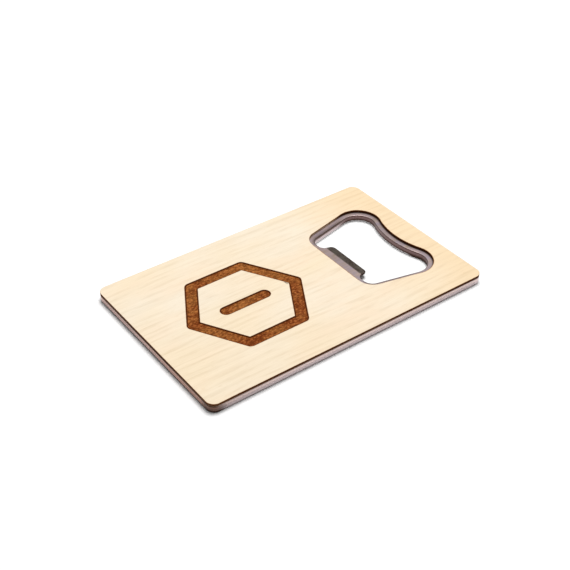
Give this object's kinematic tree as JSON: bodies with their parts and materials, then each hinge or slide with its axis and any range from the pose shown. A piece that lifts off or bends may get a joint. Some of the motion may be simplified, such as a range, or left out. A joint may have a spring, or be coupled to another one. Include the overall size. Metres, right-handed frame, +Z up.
{
  "type": "card bottle opener",
  "caption": "Bank-card-shaped bottle opener: a steel plate faced with pale wood veneer, with an engraved mark and an opening whose lip hooks under a crown cap.",
  "frame": {"origin": "centre of the card's underside, on the surface it lies on", "axes": "+X along the card towards the cap opening, +Y across the card, +Z up out of the veneer face"},
  "size_m": [0.0856, 0.054, 0.0027],
  "materials": {
    "stainless_steel": "satin, fine-ground face with tumbled edges",
    "adhesive": "translucent acrylic film, seen only at its edge",
    "maple_veneer": "matte sanded maple, with edges and mark burnt brown by the laser"
  },
  "bodies": {
    "root": {"steel_plate": "stainless_steel", "adhesive_film": "adhesive", "wood_veneer": "maple_veneer"}
  },
  "joints": []
}
